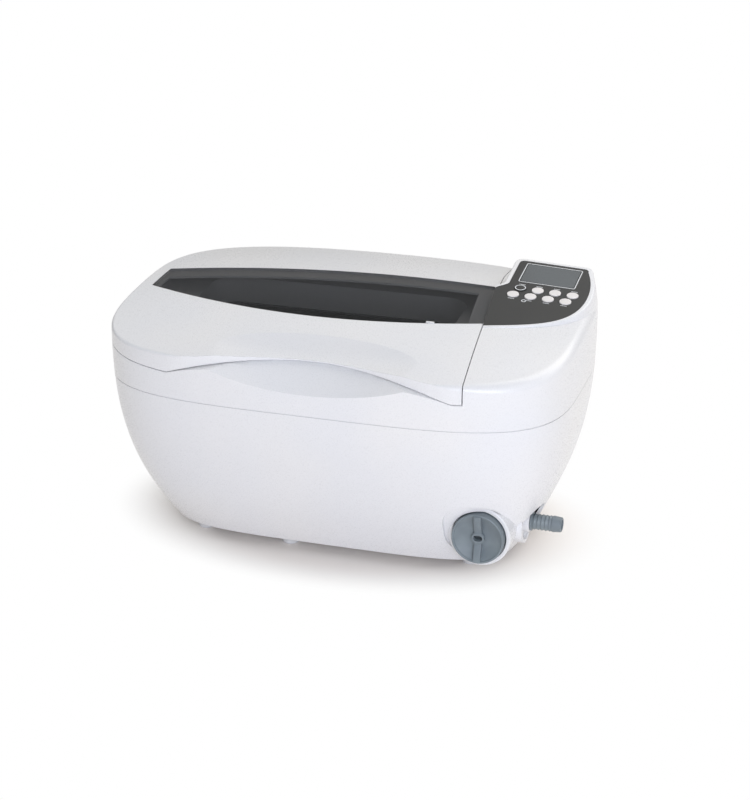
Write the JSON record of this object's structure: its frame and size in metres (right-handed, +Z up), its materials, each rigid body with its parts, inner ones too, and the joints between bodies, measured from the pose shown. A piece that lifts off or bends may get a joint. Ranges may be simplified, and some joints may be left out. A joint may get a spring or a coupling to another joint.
{
  "type": "ultrasonic cleaner",
  "caption": "Bench-top ultrasonic cleaner with a white moulded housing, hinged lid with a smoked window, keypad with display, and a drain valve with hose barb.",
  "frame": {"origin": "centre of the bounding box in plan, on the surface that the feet stand on", "axes": "+X to the right along the length, -Y to the front where the drain knob is, +Z up"},
  "size_m": [0.4, 0.274, 0.2219],
  "materials": {
    "white_plastic": "satin moulded ABS",
    "smoked_acrylic": "clear smoked acrylic",
    "panel_film": "matt dark film",
    "display_glass": "tinted, unlit",
    "key_plastic": "satin",
    "grey_plastic": "satin moulded",
    "black_plastic": "moulded",
    "foot_rubber": "matt",
    "silicone": "moulded silicone",
    "heater_rubber": "moulded silicone",
    "steel": "brushed stainless",
    "aluminium": "machined",
    "ceramic": "fired ceramic rings",
    "circuit_board": "solder mask"
  },
  "bodies": {
    "housing": {"lower_housing": "white_plastic", "upper_housing": "white_plastic", "base_plate": "white_plastic", "foot_1": "foot_rubber", "foot_2": "foot_rubber", "foot_3": "foot_rubber", "foot_4": "foot_rubber", "foot_5": "foot_rubber", "foot_6": "foot_rubber", "hinge_pin_1": "steel", "hinge_pin_2": "steel", "control_panel": "panel_film", "display_lens": "display_glass", "display_module": "black_plastic", "control_board": "circuit_board", "tank": "steel", "tank_gasket": "silicone", "transducer_horn_1": "aluminium", "transducer_horn_2": "aluminium", "piezo_stack_1": "ceramic", "piezo_stack_2": "ceramic", "back_mass_1": "steel", "back_mass_2": "steel", "heater_pad": "heater_rubber", "drain_elbow": "grey_plastic", "drain_hose": "silicone", "valve_body": "grey_plastic", "hose_barb": "grey_plastic", "mains_inlet": "black_plastic", "fan_frame": "black_plastic", "board_bracket": "aluminium", "power_board": "circuit_board", "heat_sink": "aluminium", "transformer": "black_plastic"},
    "lid": {"lid_shell": "white_plastic", "lid_window": "smoked_acrylic"},
    "valve": {"drain_knob": "grey_plastic", "valve_plug": "grey_plastic"},
    "fan": {"fan_rotor": "black_plastic"},
    "key_body_1": {"key_1": "key_plastic"},
    "key_body_2": {"key_2": "key_plastic"},
    "key_body_3": {"key_3": "key_plastic"},
    "key_body_4": {"key_4": "key_plastic"},
    "key_body_5": {"key_5": "key_plastic"},
    "key_body_6": {"key_6": "key_plastic"},
    "key_body_7": {"key_7": "key_plastic"},
    "key_body_8": {"key_8": "key_plastic"}
  },
  "joints": [
    {"name": "lid_hinge", "type": "hinge", "parent": "housing", "child": "lid", "pos_m": [0, 0.13253, 0.183], "axis": [-1, 0, 0], "range_deg": [0, 85]},
    {"name": "drain_turn", "type": "hinge", "parent": "housing", "child": "valve", "pos_m": [0.1365, -0.06087, 0.044], "axis": [0, -1, 0], "range_deg": [0, 90]},
    {"name": "fan_spin", "type": "hinge", "parent": "housing", "child": "fan", "pos_m": [0.107, 0.02683, 0.012], "axis": [0, 0, 1], "continuous": true},
    {"name": "key_press_1", "type": "slide", "parent": "housing", "child": "key_body_1", "axis": [-0.0492, 0.1674, -0.9847], "range_m": [0, 0.001], "stiffness_N_per_m": 300},
    {"name": "key_press_2", "type": "slide", "parent": "housing", "child": "key_body_2", "axis": [-0.0492, 0.1674, -0.9847], "range_m": [0, 0.001], "stiffness_N_per_m": 300},
    {"name": "key_press_3", "type": "slide", "parent": "housing", "child": "key_body_3", "axis": [-0.0492, 0.1674, -0.9847], "range_m": [0, 0.001], "stiffness_N_per_m": 300},
    {"name": "key_press_4", "type": "slide", "parent": "housing", "child": "key_body_4", "axis": [-0.0492, 0.1674, -0.9847], "range_m": [0, 0.001], "stiffness_N_per_m": 300},
    {"name": "key_press_5", "type": "slide", "parent": "housing", "child": "key_body_5", "axis": [-0.0492, 0.1674, -0.9847], "range_m": [0, 0.001], "stiffness_N_per_m": 300},
    {"name": "key_press_6", "type": "slide", "parent": "housing", "child": "key_body_6", "axis": [-0.0492, 0.1674, -0.9847], "range_m": [0, 0.001], "stiffness_N_per_m": 300},
    {"name": "key_press_7", "type": "slide", "parent": "housing", "child": "key_body_7", "axis": [-0.0492, 0.1674, -0.9847], "range_m": [0, 0.001], "stiffness_N_per_m": 300},
    {"name": "key_press_8", "type": "slide", "parent": "housing", "child": "key_body_8", "axis": [-0.0492, 0.1674, -0.9847], "range_m": [0, 0.001], "stiffness_N_per_m": 300}
  ]
}
